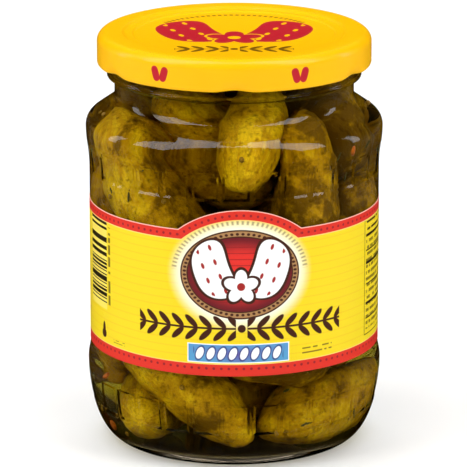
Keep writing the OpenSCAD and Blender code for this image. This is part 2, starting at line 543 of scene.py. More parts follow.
def glass_material(settings, name, mirror):
    """Clear glass; mirror is 0 where brine wets it, which leaves no reflection there. Near the foot its
    colour is darker: partly the tint of thick glass, partly painted shade.
    """
    kit = Kit(name)
    x, y, z = kit.place()
    ripple = kit.noise(kit.vector(x, y, z * 0.4), 0.06, 1.0)
    # Colour darkens towards the foot: partly the thick glass's tint, partly painted shade
    near_foot = kit.ramp(z, 9.0, 5.0)
    tint = kit.mix(near_foot, settings.tint, settings.foot_tint_and_shade)
    surface = kit.surface(
        Base_Color=tint, Roughness=0.0, IOR=1.45, Transmission_Weight=1.0,
        Specular_Tint=(mirror, mirror, mirror), Normal=kit.bump(ripple, 0.35, 0.0004))
    return kit.finish(let_light_in(kit, surface, (0.96, 0.97, 0.95)))


def brine_material(settings):
    """Clear brine that takes up blue light on its way through."""
    kit = Kit("brine_liquid")
    surface = kit.surface(Base_Color=(1.0, 0.985, 0.93), Roughness=0.0, IOR=1.34,
                          Transmission_Weight=1.0, Specular_Tint=(0.0, 0.0, 0.0))
    volume = kit.node("VolumeAbsorption", {}, {"Color": settings.tint,
                                               "Density": settings.density}).outputs[0]
    return kit.finish(let_light_in(kit, surface, (1.0, 0.98, 0.9)), volume)


def gherkin_material(settings):
    """Wet skin: pale streaks along it, mottling, dark warts and paler tips."""
    kit = Kit("gherkin_skin")
    light, middle, dark = settings.light, settings.middle, settings.dark
    skin = kit.attribute("skin").outputs["Vector"]
    tone = Value(kit, kit.attribute("tone").outputs["Fac"])
    round_x, round_y, along = [Value(kit, s) for s in
                               kit.node("SeparateXYZ", {}, {0: skin}).outputs]
    x, y, z = kit.place()
    spot = kit.vector(x, y, z)
    end = kit.ramp(abs(along % 4.0 - 1.0) * -1.0 + 1.0, 0.0, 0.25)
    streaks = kit.noise(kit.vector(round_x, round_y, along * 0.1), 7.0, 3.0, 0.65)
    mottle = kit.noise(spot, 0.14, 5.0, 0.65)
    patch = kit.noise(spot, 0.045, 2.0)
    fine = kit.noise(spot, 0.9, 3.0, 0.6)
    cells = kit.node("TexVoronoi", {"feature": "F1"}, {"Vector": spot, "Scale": 0.36})
    wart = 1.0 - kit.ramp(Value(kit, cells.outputs["Distance"]), 0.1, 0.4)
    lit = (mottle - 0.5) * 0.9 + (patch - 0.5) * 0.5 + 0.5 + (tone - 0.5) * 0.3
    body = kit.mix(kit.ramp(lit, 0.38, 0.54), dark, middle)
    body = kit.mix(kit.ramp(lit + (streaks - 0.5) * tone * 0.9 * end, 0.53, 0.7), body, light)
    body = kit.mix(kit.ramp(streaks, 0.5, 0.66) * end * 0.3, body, dark)
    body = kit.mix(kit.ramp(fine, 0.5, 0.68) * 0.45, body, dark)
    body = kit.mix(wart * kit.ramp(fine, 0.42, 0.6) * kit.ramp(tone, 0.98, 0.6) * 0.6, body, dark)
    surface = kit.surface(
        Base_Color=body, Roughness=kit.ramp(mottle, 0.2, 0.8) * 0.2 + 0.3, Specular_IOR_Level=0.1,
        Normal=kit.bump(wart * 0.6 + fine * 0.7, 0.7, 0.0009))
    return kit.finish(surface)


def plain_material(name, base, roughness):
    """One colour with a soft mottling, for small loose things."""
    kit = Kit(name)
    x, y, z = kit.place()
    mottle = kit.noise(kit.vector(x, y, z), 0.8, 3.0)
    darker = tuple(part * 0.55 for part in base)
    surface = kit.surface(Base_Color=kit.mix(kit.ramp(mottle, 0.35, 0.65), darker, base),
                          Roughness=roughness, Normal=kit.bump(mottle, 0.3, 0.0003))
    return kit.finish(surface)


class Drawing:
    """Flat shapes drawn on (s, z) in millimetres; each gives how deep a point lies inside."""

    def __init__(self, kit, s, z):
        self.kit = kit
        self.s = s
        self.z = z

    def at(self, s, z, degrees=0.0):
        """The same drawing plane, moved and turned."""
        ds = self.s - s
        dz = self.z - z
        c = math.cos(math.radians(degrees))
        d = math.sin(math.radians(degrees))
        return Drawing(self.kit, ds * c + dz * d, dz * c - ds * d)

    def bar(self, width, height):
        """A rectangle about the middle."""
        return self.kit.least(width / 2 - abs(self.s), height / 2 - abs(self.z))

    def oval(self, a, b):
        """An ellipse with half axes a and b."""
        return (1.0 - self.around(a, b)[0]) * min(a, b)

    def around(self, a, b):
        """Share of the way out to an ellipse, and the turn round it."""
        s, z = self.s * (1 / a), self.z * (1 / b)
        return self.kit.hypot(s, z), self.kit.math("ARCTAN2", z, s)

    def disc(self, r):
        """A disc of radius r."""
        return r - self.kit.hypot(self.s, self.z)

    def gherkin(self, long, width, bend):
        """A plump gherkin on the vertical, bent sideways."""
        curved = self.s - self.z * self.z * bend
        reach = self.kit.hypot(curved * (2.0 / width), (self.z * (2.0 / long)) ** 2.0
                               * self.kit.math("SIGN", self.z))
        return (1.0 - reach) * (width / 2)


def paint(kit, ground, *layers, blur=0.12, strength=1.0):
    """Inks laid on the ground in turn, each given as (depth, ink), where depth is above 0."""
    for depth, ink in layers:
        ground = kit.mix(kit.inside(depth, blur) * strength, ground, ink)
    return ground


def gherkin_pair(kit, plane, ground, skin, outline, dots, line=0.9, size=1.0):
    """Ornament of two gherkins leaning apart with a small flower between them."""
    for side in (-1, 1):
        spot = plane.at(side * 9.4 * size, 0.6 * size, -side * 20)
        body = spot.gherkin(19.5 * size, 11.4 * size, side * -0.022 / size)
        wart = Drawing(kit, spot.s % (4.2 * size) - 2.1 * size, spot.z % (5.0 * size) - 2.5 * size)
        warts = kit.least(wart.oval(0.5 * size, 1.0 * size), body - 0.7 * size)
        ground = paint(kit, ground, (body + line, outline), (body, skin), (warts, dots))
    petals = None
    for i in range(5):
        turn = math.radians(90 + 72 * i)
        petal = plane.at(3.0 * size * math.cos(turn), (3.0 * math.sin(turn) - 4.4) * size,
                         math.degrees(turn) - 90).oval(1.9 * size, 2.6 * size)
        petals = petal if petals is None else kit.most(petals, petal)
    return paint(kit, ground, (petals + line * 0.8, outline), (petals, skin),
                 (plane.at(0, -4.4 * size).disc(1.3 * size), dots))


def laurel(kit, plane, ground, ink, reach):
    """Two leafy twigs that run outwards from a berry in the middle."""
    pitch = 4.6
    out = abs(plane.s)
    up = abs(plane.z)
    near = kit.least(reach - out, out - 1.8)
    leaf = Drawing(kit, out % pitch - pitch / 2, up).at(0.1, 2.1, -46).oval(0.98, 2.75)
    twig = kit.least(0.34 - up, near)
    return paint(kit, ground, (kit.least(leaf, near), ink), (twig, ink), (plane.disc(1.3), ink))


def arch_circle(settings):
    """Half the arch's width along the paper, and the radius of its circle."""
    r = PANEL_R + settings.paper
    rise = LABEL_TOP - settings.straight_top
    half = r * math.asin(settings.arch_w / 2 / r)
    return half, (half * half + rise * rise) / (2 * rise)


# Places on the label: how far round from its front and how high, in millimetres
OVAL = (0, 66.2)
PAIR = (0.3, 66.6)
LAUREL = (0.5, 48.4)
PLATE = (-0.5, 40.1)
BARS = (-58.2, 62.5)
DROP = (-53.5, 40.5)
FACTS = (62.5, 58.5)
LEFT_PRINT = (-44.5, 38.3)
RIGHT_PRINT = (26.4, 39.6)
CARDS = ((-104.0, 57.5), (104.0, 57.5))


def label_material(settings):
    """Printed paper: ruled yellow field, oval, ornaments, panels and red borders, with a painted
    highlight along the upper cut edge.
    """
    kit = Kit("label_print")
    x, y, z = kit.place()
    r_mm = (PANEL_R + settings.paper) / MM
    turn = kit.math("ARCTAN2", x, -y) - settings.turn
    turn = kit.math("WRAP", turn, math.pi, -math.pi)
    s = turn * r_mm
    plane = Drawing(kit, s, z)
    yellow, red, brown, cream, white = (settings.yellow, settings.red, settings.brown,
                                        settings.cream, settings.white)
    low = LABEL_Z / MM
    top = settings.straight_top / MM
    half, arch_r = (part / MM for part in arch_circle(settings))
    arch_z = LABEL_TOP / MM - arch_r
    # Field with faint ruled lines
    ruled = kit.ramp(abs((z - low) % 2.6 - 1.3), 0.0, 0.28)
    # The last of these colours is a painted highlight: a pale line along the label's upper cut edge
    rule, edge, dot, cut_edge_highlight = (rgb(236, 186, 20), rgb(250, 214, 120), rgb(150, 24, 34),
                                 rgb(255, 190, 170))
    ground = kit.mix((1.0 - ruled) * 0.5, yellow, rule)
    # Oval with its halo
    oval = plane.at(*OVAL)
    halo = oval.oval(24.5, 19.5)
    ground = kit.mix(kit.ramp(halo, 0.0, 5.0), ground, cream)
    ground = arc_of_dashes(kit, oval, ground, brown)
    reach, around = oval.around(18.0, 13.3)
    beads = Drawing(kit, (around * (64 / FULL_TURN)) % 1.0 - 0.5, (reach - 1.0) * 9.0)
    ground = paint(kit, ground, (oval.oval(19.4, 14.7), brown),
                   (oval.oval(18.9, 14.2), settings.gold), (beads.disc(0.3), brown),
                   (oval.oval(17.3, 12.6), brown))
    inner = oval.oval(16.9, 12.2)
    lines = kit.ramp(abs(oval.z % 2.0 - 1.0), 0.0, 0.26)
    field = kit.mix(kit.ramp(inner, 0.0, 6.5), settings.maroon, rgb(228, 44, 34))
    field = kit.mix((1.0 - lines) * 0.7, field, rgb(132, 22, 26))
    ground = kit.mix(kit.inside(inner), ground, field)
    ground = gherkin_pair(kit, plane.at(*PAIR), ground, white, brown, rgb(168, 34, 30))
    # Laurel, plate and panels
    ground = laurel(kit, plane.at(*LAUREL), ground, brown, 35.0)
    ground = plate(kit, plane.at(*PLATE), ground, white, settings.blue, settings.violet)
    ground = bars_at_left(kit, plane, ground, brown)
    ground = facts_panel(kit, plane, ground, rgb(40, 26, 16), yellow)
    ground = back_panel(kit, plane, ground, brown, cream)
    # Borders with their dots, and a painted highlight along the upper cut edge
    depth = kit.most(top - z, arch_r - kit.hypot(s, z - arch_z))
    arch_side = kit.inside(half - 0.4 - abs(s), 0.4)
    along = kit.math("ARCTAN2", s, z - arch_z) * arch_r
    along = s + (along - s) * arch_side
    dot_pitch = 2.4
    dots_top = Drawing(kit, along % dot_pitch - dot_pitch / 2, depth - 1.75)
    dots_low = Drawing(kit, s % dot_pitch - dot_pitch / 2, z - low - 2.5)
    ground = paint(kit, ground, (3.45 - depth, edge), (3.15 - depth, red),
                   (dots_top.disc(0.42), dot), (4.1 + low - z, edge), (3.85 + low - z, red),
                   (dots_low.disc(0.42), dot), (0.28 - depth, cut_edge_highlight))
    fibre = kit.noise(kit.vector(x, y, z), 2.2, 3.0)
    surface = kit.surface(Base_Color=ground, Roughness=fibre * 0.1 + 0.36, Coat_Weight=0.25,
                          Coat_Roughness=0.25, Specular_IOR_Level=0.3,
                          Normal=kit.bump(fibre, 0.12, 0.0002))
    return kit.finish(surface)


def arc_of_dashes(kit, oval, ground, ink):
    """Row of short strokes over the oval, where a maker would set small type."""
    reach, turn = oval.around(21.6, 17.0)
    cell = Drawing(kit, (turn * (84 / FULL_TURN)) % 1.0 - 0.5, (reach - 1.0) * 10.5)
    above = kit.math("SINE", turn) * 10.0 - 0.6
    return paint(kit, ground, (kit.least(cell.bar(0.42, 0.75), above), ink), blur=0.3,
                 strength=0.6)


def plate(kit, plane, ground, white, blue, violet):
    """Blue and violet plate with a white edge and a row of small white lozenges."""
    ground = paint(kit, ground, (plane.bar(33.0, 6.3), white))
    wash = kit.mix(kit.ramp(abs(plane.s) * 0.09 - plane.z * 0.28, -0.2, 1.6), violet, blue)
    wash = kit.mix(kit.ramp(plane.z, -0.5, 3.4), wash, blue)
    ground = kit.mix(kit.inside(plane.bar(32.4, 5.7)), ground, wash)
    cell = Drawing(kit, plane.s % 3.55 - 1.775, plane.z)
    near = 14.2 - abs(plane.s)
    body = kit.least(cell.at(0, 0, -22).oval(1.15, 2.05), near)
    ground = paint(kit, ground, (body + 0.35, rgb(48, 50, 120)), blur=0.15, strength=0.8)
    return paint(kit, ground, (body, white))


def stroke_code(kit, value, seed, share):
    """1 on a random share of whole steps of value."""
    return kit.chance(kit.math("FLOOR", value), seed) < share


def bars_at_left(kit, plane, ground, ink):
    """Column of level bars of random width at the left, a plain drop and two short rows."""
    column = plane.at(*BARS)
    bars = stroke_code(kit, column.z * (1 / 0.42), 3.0, 0.5)
    patch = kit.inside(column.bar(13.5, 29.5))
    ground = kit.mix(patch * 0.55, ground, rgb(255, 238, 120))
    ground = kit.mix(patch * bars, ground, rgb(46, 34, 10))
    ticks = stroke_code(kit, column.z * (1 / 0.8), 8.0, 0.62)
    ground = kit.mix(kit.inside(column.at(8.3, 0).bar(1.3, 26.0)) * ticks * 0.8, ground,
                     rgb(90, 70, 16))
    drop = plane.at(*DROP)
    body = kit.most(drop.at(0, -0.9).disc(1.5), kit.least(drop.at(0, 0.6).oval(0.9, 2.4), 1.0))
    ground = paint(kit, ground, (body, ink))
    ground = text_rows(kit, plane.at(*LEFT_PRINT), ground, ink, 6.0, 1.0, 1, 0.7)
    return text_rows(kit, plane.at(*RIGHT_PRINT), ground, ink, 11.5, 2.0, 1, 0.75)


def text_rows(kit, plane, ground, ink, width, pitch, rows, strength=0.8):
    """Rows of short level strokes of random length, standing in for small print."""
    row = plane.z % pitch - pitch / 2
    line = kit.math("FLOOR", plane.z * (1 / pitch))
    word = kit.math("FLOOR", plane.s * (1 / 0.9))
    mark = kit.inside(pitch * 0.24 - abs(row)) * (kit.chance(word, line) < 0.74)
    block = kit.inside(plane.bar(width, pitch * rows))
    return kit.mix(mark * block * strength, ground, ink)


def facts_panel(kit, plane, ground, ink, paper):
    """Outlined panel of heavy and fine rules at the right."""
    panel = plane.at(*FACTS)
    ground = paint(kit, ground, (panel.bar(25.4, 40.0), ink), (panel.bar(24.8, 39.4), paper))
    ground = text_rows(kit, panel.at(0, 16.4), ground, ink, 22.5, 3.2, 1, 0.95)
    inner = panel.at(0, -2.5)
    ground = text_rows(kit, inner, ground, ink, 23.0, 2.1, 15, 0.7)
    rules = ((13.2, 0.9), (8.2, 0.5), (4.0, 0.9), (-3.0, 0.4), (-9.5, 0.9), (-14.5, 0.4))
    return paint(kit, ground, *((panel.at(0, height).bar(23.2, thick), ink)
                                for height, thick in rules))


def back_panel(kit, plane, ground, ink, cream):
    """Two cream panels of plain strokes near the seam at the back."""
    for place in CARDS:
        card = plane.at(*place)
        ground = paint(kit, ground, (card.bar(44.0, 36.0), ink), (card.bar(43.2, 35.2), cream))
        ground = text_rows(kit, card, ground, ink, 38.0, 2.4, 12, 0.7)
    return ground


def cap_material(settings):
    """Yellow enamel with a print on the top and small marks round the skirt."""
    kit = Kit("cap_enamel")
    x, y, z = kit.place()
    yellow, red = settings.yellow, settings.print_red
    sheen = kit.noise(kit.vector(x, y, z), 0.12, 2.0)
    ground = kit.mix(sheen * 0.25, yellow, rgb(250, 168, 2))
    on_top = kit.inside(z - (CAP_TOP / MM - 2.2), 0.2)
    plane = Drawing(kit, x, y)
    top = gherkin_pair(kit, plane.at(0, 2.0), ground, red, yellow, yellow, 0.9, 1.62)
    r = kit.hypot(x, y)
    round_mm = kit.math("ARCTAN2", x, y) * 28.0
    behind = Drawing(kit, round_mm % 1.9 - 0.95, r - 28.2)
    dark = rgb(120, 84, 10)
    arc_end = 26.0 - abs(round_mm)
    dashes = kit.least(behind.bar(1.15, 1.9), arc_end)
    top = paint(kit, top, (dashes, dark), blur=0.3, strength=0.8)
    top = laurel(kit, plane.at(0, -21.5), top, dark, 19.0)
    ground = kit.mix(on_top, ground, top)
    # Small marks round the skirt
    turn = kit.math("ARCTAN2", x, -y) * (1 / (math.pi / 3)) + 0.034
    around = (turn % 1.0 - 0.5) * (CAP_R / MM * math.pi / 3)
    mark = Drawing(kit, around, z - (CAP_TOP / MM - 5.6))
    skirt = 1.0 - on_top
    for side in (-1, 1):
        body = mark.at(side * 1.5, 0.0, -side * 16).gherkin(5.0, 2.6, 0.0)
        ground = kit.mix(kit.inside(body, 0.2) * skirt, ground, red)
    surface = kit.surface(Base_Color=ground, Roughness=sheen * 0.08 + 0.3, Coat_Weight=0.22,
                          Coat_Roughness=0.06, Specular_IOR_Level=0.2,
                          Normal=kit.bump(sheen, 0.05, 0.0005))
    return kit.finish(surface)


# The contents ----------------------------------------------------------------------------

# Gherkins placed one by one: the place of each tip and the width (mm), bend (degrees), paleness
# from 0 to 1, and how firmly each holds its place when they all settle
PLACED = [
    ((-35, -11, 113), (-3, -34, 48), 25.5, 14, 0.72, 1.8),
    ((-17, -22, 119), (6, -16, 81), 25, 8, 0.62, 1.2),
    ((2, -41, 92), (7, -10, 117), 18.5, 6, 0.75, 1.6),
    ((21, -28, 114), (24, -31, 44), 21, 8, 0.35, 1.4),
    ((35, -17, 95), (22, 12, 121), 24, 8, 0.2, 0.8),
    ((-20, 12, 121), (-28, 22, 58), 23, 8, 0.5, 0.6),
    ((19, 20, 121), (24, 26, 56), 22, 8, 0.7, 0.6),
    ((0, 13, 122), (2, 15, 64), 21, 6, 0.35, 0.5),
    ((38, -9, 92), (35, -20, 28), 22, 10, 0.35, 0.8),
    ((-37, -2, 92), (-39, -12, 20), 20, 12, 0.4, 0.8),
    ((-29, -31, 12), (-12, 14, 14), 19, 8, 0.95, 1.4),
    ((-36, -22, 44), (6, -38, 10), 21, 14, 0.62, 2.2),
    ((-3, -32, 40), (31, -25, 27), 21, 10, 0.25, 0.8),
    ((7, -37, 11), (40, -4, 18), 21.5, 22, 0.55, 1.4),
]


def loose_gherkins(amount, seed):
    """Rows like those of PLACED, at random places in the middle and at the back."""
    dice = random.Random(seed)
    rows = []
    for i in range(amount):
        at_side = i < amount - 3
        turn = math.radians(dice.uniform(60, 300) if at_side else dice.uniform(0, 360))
        away = 28 if at_side else 8
        middle = Vector((away * math.sin(turn), -away * math.cos(turn),
                         (38, 84)[i % 2] + dice.uniform(-8, 8)))
        half = dice.uniform(29, 39)
        lean = Vector((dice.uniform(-0.4, 0.4), dice.uniform(-0.4, 0.4), 0.9)) * half
        rows.append((middle + lean, middle - lean, dice.uniform(20, 26), dice.uniform(6, 18),
                     dice.uniform(0.3, 0.8), 0.0))
    return rows


class Heap:
    """Gherkins as chains of balls, pushed off each other and off the glass."""

    balls_each = 9
    end_inset = 0.62  # gap from a tip to its ball, in half widths
    blunt, round_off = 2.6, 0.52  # powers of the curve from the middle to a tip
    first_pull, pull_fade = 0.1, 1.5  # pull to the wanted place at first, and how it fades
    last_pull, free_pull, free_from = 0.02, 0.004, 0.93  # pull kept on, and near the end
    small = 0.55  # share of full width at the start
    crowd = 0.7  # how much many touches weaken each push

    def __init__(self, rows, wall_line, top):
        self.wanted = np.array([[list(tip) for tip in row[:2]] for row in rows]) * MM
        self.tips = self.wanted.copy()
        self.long = np.linalg.norm(self.tips[:, 0] - self.tips[:, 1], axis=1)
        self.hold = np.array([row[5] for row in rows])
        half = np.array([row[2] for row in rows])[:, None] * MM / 2
        reach = self.long[:, None] / 2
        self.along = np.linspace(-1, 1, self.balls_each) * (
            1 - self.end_inset * half / reach)
        body = half * (1 - np.abs(self.along) ** self.blunt) ** self.round_off
        self.radii = np.minimum(body, reach * (1 - np.abs(self.along)))
        self.bulge = np.radians([row[3] for row in rows]) * self.long / 8
        line = np.array(thin_out(wall_line))
        self.start, self.run = line[:-1], np.diff(line, axis=0)
        size = np.linalg.norm(self.run, axis=1, keepdims=True)
        self.normal = np.stack([-self.run[:, 1], self.run[:, 0]], axis=1) / size
        self.top = top

    def frames(self):
        """Middle, outward direction and lengthwise direction of each gherkin."""
        middle = self.tips.mean(axis=1)
        axis = (self.tips[:, 0] - self.tips[:, 1]) / self.long[:, None]
        out = middle * (1, 1, 0) - (0, 0.1 * MM, 0)
        out -= axis * (out * axis).sum(axis=1, keepdims=True)
        return middle, out / np.linalg.norm(out, axis=1, keepdims=True), axis

    def balls(self):
        """Centres of all the balls, which lie along each gherkin's bend."""
        middle, out, axis = self.frames()
        along = self.along * self.long[:, None] / 2
        drop = -self.bulge[:, None] * self.along ** 2
        spots = middle[:, None] + axis[:, None] * along[..., None] + out[:, None] * drop[..., None]
        return spots.reshape(-1, 3)

    def off_glass(self, spots, radii):
        """Pushes that bring the balls inside the glass and under the brine's surface."""
        r = np.hypot(spots[:, 0], spots[:, 1]) + 1e-9
        flat = np.stack([r, spots[:, 2]], axis=1)[:, None]
        share = ((flat - self.start) * self.run).sum(axis=2) / (self.run ** 2).sum(axis=1)
        gap = flat - self.start - self.run * np.clip(share, 0, 1)[..., None]
        near = np.linalg.norm(gap, axis=2).argmin(axis=1)
        normal = self.normal[near]
        inside = (gap[np.arange(len(spots)), near] * normal).sum(axis=1)
        need = np.maximum(0, radii - inside)[:, None]
        push = need * np.column_stack([normal[:, :1] * spots[:, :2] / r[:, None], normal[:, 1]])
        push[:, 2] -= np.maximum(0, spots[:, 2] + radii - self.top)
        return push

    def settle(self, passes):
        """Grow the gherkins to full width while they push each other aside."""
        radii = self.radii.ravel()
        owner = np.repeat(np.arange(len(self.long)), self.along.shape[1])
        one, two = np.triu_indices(len(owner), 1)
        apart = owner[one] != owner[two]
        one, two = one[apart], two[apart]
        reach = radii[one] + radii[two]
        weight = self.radii[..., None] ** 2
        for step in range(passes):
            late = step / passes
            kept = self.last_pull if late < self.free_from else self.free_pull
            pull = self.first_pull * (1 - late) ** self.pull_fade + kept
            self.tips += (self.wanted - self.tips) * (pull * self.hold)[:, None, None]
            spots = self.balls()
            between = spots[one] - spots[two]
            far = np.linalg.norm(between, axis=1) + 1e-9
            over = reach * min(1, self.small + late) - far
            hit = over > 0
            push = between[hit] * (0.5 * over[hit] / far[hit])[:, None]
            total, touches = np.zeros_like(spots), np.ones((len(spots), 1))
            for ends, sign in ((one[hit], 1), (two[hit], -1)):
                np.add.at(total, ends, sign * push)
                np.add.at(touches, ends, 1)
            move = self.off_glass(spots, radii) + total * 2 / touches ** self.crowd
            move = move.reshape(*self.along.shape, 3)
            for tip, side in ((0, 1), (1, -1)):
                share = 1 + side * self.along[..., None]
                self.tips[:, tip] += (move * weight * share).sum(axis=1) / (
                    weight * share ** 2).sum(axis=1)
            middle = self.tips.mean(axis=1, keepdims=True)
            size = np.linalg.norm(self.tips[:, 0] - self.tips[:, 1], axis=1)
            self.tips = middle + (self.tips - middle) * (self.long / size)[:, None, None]


def gherkin(index, row, long, place, settings):
    """One gherkin: turned, bent, put in its place, then given lumps and warts."""
    width, bend, paleness = row[2:5]
    dice = random.Random(settings.seed * 100 + index)
    half = width * MM / 2
    blunt = dice.uniform(2.4, 3.0)
    taper = dice.uniform(-0.1, 0.1)
    rings, sides = 64, 72
    shares = [-math.cos(math.pi * i / rings) for i in range(rings + 1)]
    outline = [(half * max(0.0, 1 - abs(t) ** blunt) ** 0.52 * (1 + taper * t), t * long / 2)
               for t in shares]
    obj = turned(f"gherkin_{index}", outline, sides)
    marks = obj.data.attributes
    marks.new("skin", "FLOAT_VECTOR", "POINT")
    marks.new("tone", "FLOAT", "POINT")
    for vertex, spot, level in zip(obj.data.vertices, marks["skin"].data, marks["tone"].data):
        around = math.atan2(vertex.co.y, vertex.co.x)
        along = vertex.co.z / (long / 2)
        spot.vector = (math.cos(around) + index * 7.0, math.sin(around) - index * 5.0,
                       along + 4.0 * index)
        level.value = paleness
    modify(obj, "SIMPLE_DEFORM", deform_method="BEND", deform_axis="X", angle=math.radians(bend))
    obj.data.transform(place)
    lumps = bpy.data.textures.new("lumps", "CLOUDS")
    lumps.noise_scale = 0.016
    warts = bpy.data.textures.new("warts", "VORONOI")
    warts.noise_scale = 0.0052
    warts.distance_metric = "DISTANCE"
    modify(obj, "DISPLACE", texture=lumps, texture_coords="LOCAL", strength=width * MM * 0.2,
           mid_level=0.5)
    modify(obj, "DISPLACE", texture=warts, texture_coords="LOCAL", strength=-settings.warts,
           mid_level=0.35)
    return obj


def make_gherkins(settings):
    """All the gherkins, settled in the glass."""
    material = gherkin_material(settings)
    glass = bpy.context.scene.jar_glass
    rows = PLACED + loose_gherkins(settings.loose, settings.seed)
    off_wall = 0.35 * MM
    off_surface = 1.4 * MM
    heap = Heap(rows, inner_line(glass, glass.wall + off_wall), BRINE_Z - off_surface)
    heap.settle(settings.passes)
    places = []
    for middle, out, axis in zip(*[map(Vector, part) for part in heap.frames()]):
        turn = Matrix((axis.cross(out), -out, axis)).transposed()
        places.append(Matrix.LocRotScale(middle, turn.to_quaternion(), None))
    half = len(rows) // 2
    for name, first, last in (("gherkins_front", 0, half), ("gherkins_back", half, len(rows))):
        pieces = [gherkin(i, rows[i], float(heap.long[i]), places[i], settings)
                  for i in range(first, last)]
        whole = joined(name, pieces)
        wear(whole, material)
        smooth(whole)
        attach(whole, "root")


def make_glass(settings):
    """The jar: turned in one go, with its windows and the foot's notches pressed in."""
    g = settings
    foot = quarter(g.foot_r, 0, PANEL_R + g.heel_stand, g.heel_z, 26)
    bead_z = neck_height(g) + g.neck_h
    bead_r = g.mouth_r + g.bead_stand
    bore_r = g.mouth_r - g.mouth_wall
    mouth = (
        upright_step(g.neck_r, bead_z, bead_r, bead_z + g.bead_h / 2)
        + upright_step(bead_r, bead_z + g.bead_h * 2 / 3, g.mouth_r, bead_z + g.bead_h)
        + arc(g.mouth_r - g.rim_round, RIM_Z - g.rim_round, g.rim_round, 0, 90)
        + arc(bore_r + g.rim_round, RIM_Z - g.rim_round, g.rim_round, 90, 180)
    )
    line = (
        [(0, g.punt), (g.foot_r - g.foot_w - g.punt, g.punt), (g.foot_r - g.foot_w, 0)]
        + foot + side_line(g, 0) + mouth + inner_line(g, g.wall)[::-1]
    )
    across = WINDOW_COLUMNS
    obj = turned("jar_glass", line, g.windows * across)
    pitch = FULL_TURN / g.windows

    def in_window(middle, low, high):
        along = (turn_of(middle) / pitch + 0.5) % 1.0 * across
        radius = math.hypot(middle.x, middle.y)
        outer = radius > PANEL_R - 6 * MM and middle.z > low and middle.z < high
        corner = (along < 1.9 or along > across - 0.9) and (
            middle.z < low + WINDOW_CORNER or middle.z > high - WINDOW_CORNER)
        return outer and along > 1.0 and not corner

    for low, high in WINDOW_RINGS:
        def test(middle, normal, low=low, high=high):
            outward = normal.x * middle.x + normal.y * middle.y > 0
            return outward and in_window(middle, low, high)
        select_faces(obj, test)
        bpy.ops.mesh.inset(thickness=g.window_slope, depth=-g.window_depth, use_even_offset=True)

    def on_foot(middle, normal):
        step = math.floor(turn_of(middle) / pitch * across + 0.01)
        return middle.z < 0.02 * MM and normal.z < -0.9 and step % 2 == 0

    select_faces(obj, on_foot)
    bpy.ops.mesh.inset(thickness=g.notch_slope, depth=-g.notch_depth, use_individual=True)
    leave_edit()
    smooth(obj, 24)
    wear(obj, glass_material(settings, "pressed_glass", 1.0))
    obj.data.materials.append(glass_material(settings, "wetted_glass", 0.0))
    for face in obj.data.polygons:
        outward = Vector((face.center.x, face.center.y, 0)).normalized().dot(face.normal)
        if outward < 0.2 and 3 * MM < face.center.z < BRINE_Z:
            face.material_index = 1
    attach(obj, "root")
    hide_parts("jar")


def make_brine(settings):
    """The brine, with a slightly raised edge where it meets the glass."""
    g = bpy.context.scene.jar_glass
    line = [p for p in inner_line(g, g.wall - settings.overlap) if p[1] < BRINE_Z - 0.4 * MM]
    edge = line[-1][0]
    line += [(edge, BRINE_Z - 0.3 * MM), (edge - settings.overlap, BRINE_Z), (0, BRINE_Z - 0.2 * MM)]
    obj = turned("brine_liquid", line, 180)
    smooth(obj, 50)
    wear(obj, brine_material(settings))
    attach(obj, "root")
    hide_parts("brine")


def make_label(settings):
    """The label: a ring with an arched upper edge, and a lap at the back."""
    top = settings.straight_top
    r = PANEL_R + settings.paper
    reach, arch_r = arch_circle(settings)

    def edge_height(turn):
        s = turn * r
        if abs(s) >= reach:
            return top
        return LABEL_TOP - arch_r + math.sqrt(arch_r * arch_r - s * s)

    steps = 720
    obj = turned("label_paper", [(PANEL_R, LABEL_Z), (PANEL_R, top)], steps)
    for vertex in obj.data.vertices:
        if vertex.co.z > (LABEL_Z + top) / 2:
            turn = (turn_of(vertex.co) - settings.turn + math.pi) % FULL_TURN - math.pi
            vertex.co.z = edge_height(turn)
    modify(obj, "SOLIDIFY", thickness=settings.paper, offset=1.0)
    lap = turned("lap", [(r, LABEL_Z), (r, top)], 28, settings.lap / r)
    lap.data.transform(Matrix.Rotation(math.pi, 4, "Z"))
    modify(lap, "SOLIDIFY", thickness=settings.paper, offset=1.0)
    obj = joined("label_paper", [obj, lap])
    smooth(obj, 40)
    wear(obj, label_material(settings))
    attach(obj, "root")
    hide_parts("label")


def cap_outline(c):
    """Section of the cap: over the top, down the skirt, round the curl and back below."""
    crest_w, ledge_w = 1.6 * MM, 1.8 * MM
    crest_fall, ledge_fall = 0.8 * MM, 0.45 * MM
    ledge = c.crest_r - crest_w
    sunk = ledge - ledge_w
    ledge_z = CAP_TOP - crest_fall
    sunk_z = ledge_z - ledge_fall
    t = c.sheet
    curl_r = c.curl / 2
    upper = (
        [(0, sunk_z)] + level_step(sunk - MM, sunk_z, sunk, ledge_z)
        + level_step(ledge, ledge_z, c.crest_r, CAP_TOP)
        + arc(CAP_R - c.edge, CAP_TOP - c.edge, c.edge, 90, 0, 12)
        + [(CAP_R, CAP_TOP - c.edge - (CAP_TOP - c.edge - CAP_Z - curl_r) * i / 6) for i in range(1, 6)]
    )
    curl = arc(CAP_R - curl_r, CAP_Z + curl_r, curl_r, 0, -320, 20)
    lower = (
        [(0, sunk_z - t)] + level_step(sunk - MM + t / 2, sunk_z - t, sunk + t / 2, ledge_z - t)
        + level_step(ledge + t / 2, ledge_z - t, c.crest_r + t / 2, CAP_TOP - t)
        + arc(CAP_R - c.edge, CAP_TOP - c.edge, c.edge - t, 90, 0, 8)
        + [(CAP_R - t, CAP_Z + c.curl)]
    )
    return upper + curl + lower[::-1]


